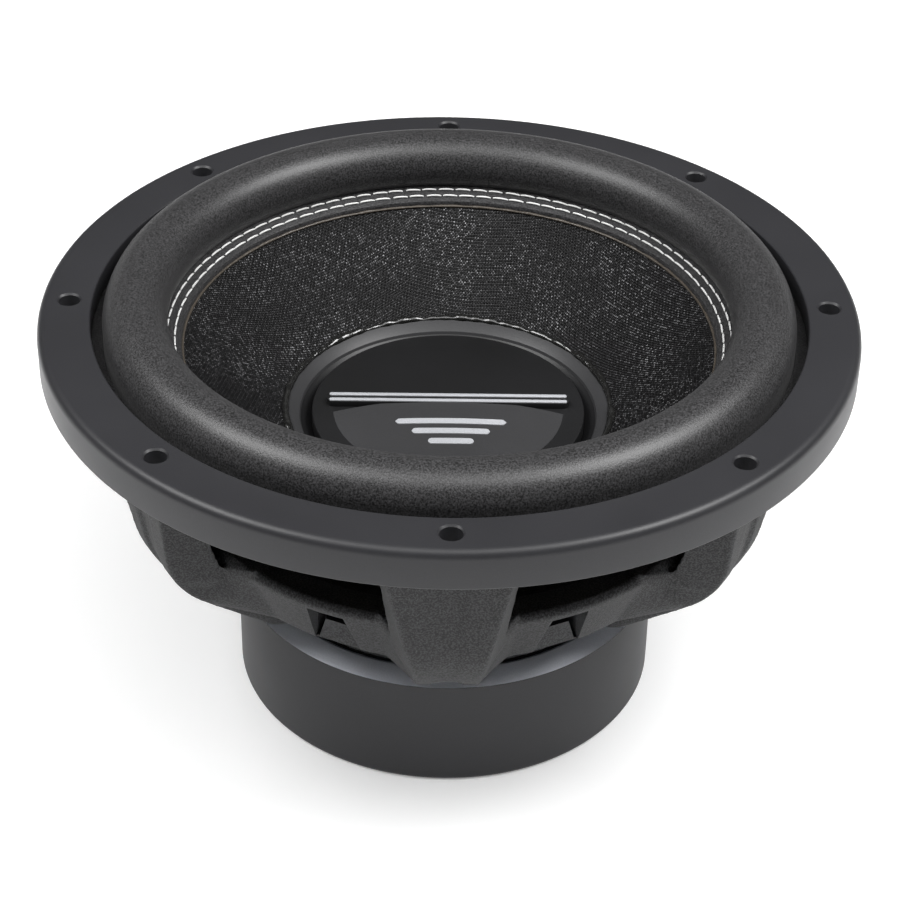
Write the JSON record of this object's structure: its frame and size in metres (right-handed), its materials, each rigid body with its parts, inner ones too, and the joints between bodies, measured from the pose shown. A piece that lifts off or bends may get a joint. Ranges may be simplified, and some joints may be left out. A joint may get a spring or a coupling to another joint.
{
  "type": "car subwoofer driver",
  "caption": "Round car subwoofer driver with a stitched half-roll foam surround, woven cone, cast basket, push terminals and a rubber-booted magnet.",
  "frame": {"origin": "centre of the underside of the magnet boot, which the driver stands on", "axes": "+Z along the cone's axis, out of the front of the cone; one basket arm points to -Y and the push terminals are on the +Y side"},
  "size_m": [0.32, 0.32, 0.1822],
  "materials": {
    "basket_paint": "coarse speckled black powder coat",
    "trim_plastic": "satin charcoal moulding",
    "surround_foam": "fine-grained soft black foam",
    "cone_cloth": "black woven fibre with a resin gloss",
    "cap_plastic": "satin black",
    "cap_ring_plastic": "satin black",
    "thread": "light grey sewing thread",
    "former_metal": "plain",
    "copper_wire": "enamelled copper",
    "adhesive": "glossy dark adhesive",
    "spider_cloth": "resin-treated cotton",
    "spacer_plastic": "plain",
    "motor_steel": "zinc plated",
    "black_steel": "black",
    "ferrite": "sintered dark grey",
    "boot_rubber": "satin charcoal",
    "screw_steel": "black oxide",
    "terminal_plastic": "black",
    "button_red": "red",
    "button_black": "black",
    "spring_steel": "plain",
    "lug_brass": "tinned brass",
    "lead_braid": "braided copper tinsel"
  },
  "bodies": {
    "frame_body": {"basket": "basket_paint", "gasket_ring": "trim_plastic", "surround": "surround_foam", "spider_lower": "spider_cloth", "spider_upper": "spider_cloth", "spider_spacer": "spacer_plastic", "yoke": "motor_steel", "top_plate": "black_steel", "shorting_ring": "former_metal", "magnet_lower": "ferrite", "magnet_upper": "ferrite", "magnet_boot": "boot_rubber", "vent_screen": "black_steel", "basket_screw_1": "screw_steel", "basket_screw_2": "screw_steel", "basket_screw_3": "screw_steel", "basket_screw_4": "screw_steel", "basket_screw_5": "screw_steel", "basket_screw_6": "screw_steel", "terminal_block_1": "terminal_plastic", "terminal_screw_1": "screw_steel", "terminal_block_2": "terminal_plastic", "terminal_screw_2": "screw_steel", "button_spring_1": "spring_steel", "solder_lug_1": "lug_brass", "tinsel_lead_1": "lead_braid", "button_spring_2": "spring_steel", "solder_lug_2": "lug_brass", "tinsel_lead_2": "lead_braid", "button_spring_3": "spring_steel", "solder_lug_3": "lug_brass", "tinsel_lead_3": "lead_braid", "button_spring_4": "spring_steel", "solder_lug_4": "lug_brass", "tinsel_lead_4": "lead_braid"},
    "cone_body": {"cone": "cone_cloth", "dust_cap": "cap_plastic", "dust_cap_ring": "cap_ring_plastic", "stitch_ring_outer": "thread", "stitch_ring_inner": "thread", "voice_coil_former": "former_metal", "coil_winding_inner": "copper_wire", "coil_winding_outer": "copper_wire", "neck_joint": "adhesive"},
    "button_1": {"push_button_1": "button_black"},
    "button_2": {"push_button_2": "button_red"},
    "button_3": {"push_button_3": "button_black"},
    "button_4": {"push_button_4": "button_red"}
  },
  "joints": [
    {"name": "cone_excursion", "type": "slide", "parent": "frame_body", "child": "cone_body", "axis": [0, 0, 1], "range_m": [-0.013, 0.013], "stiffness_N_per_m": 8900, "deforming": ["surround", "spider_lower", "spider_upper", "tinsel_lead_1", "tinsel_lead_2", "tinsel_lead_3", "tinsel_lead_4"]},
    {"name": "button_1_press", "type": "slide", "parent": "frame_body", "child": "button_1", "axis": [0, 0, 1], "range_m": [-0.003, 0], "stiffness_N_per_m": 800, "springref_m": 0.003, "deforming": ["button_spring_1"]},
    {"name": "button_2_press", "type": "slide", "parent": "frame_body", "child": "button_2", "axis": [0, 0, 1], "range_m": [-0.003, 0], "stiffness_N_per_m": 800, "springref_m": 0.003, "deforming": ["button_spring_2"]},
    {"name": "button_3_press", "type": "slide", "parent": "frame_body", "child": "button_3", "axis": [0, 0, 1], "range_m": [-0.003, 0], "stiffness_N_per_m": 800, "springref_m": 0.003, "deforming": ["button_spring_3"]},
    {"name": "button_4_press", "type": "slide", "parent": "frame_body", "child": "button_4", "axis": [0, 0, 1], "range_m": [-0.003, 0], "stiffness_N_per_m": 800, "springref_m": 0.003, "deforming": ["button_spring_4"]}
  ]
}
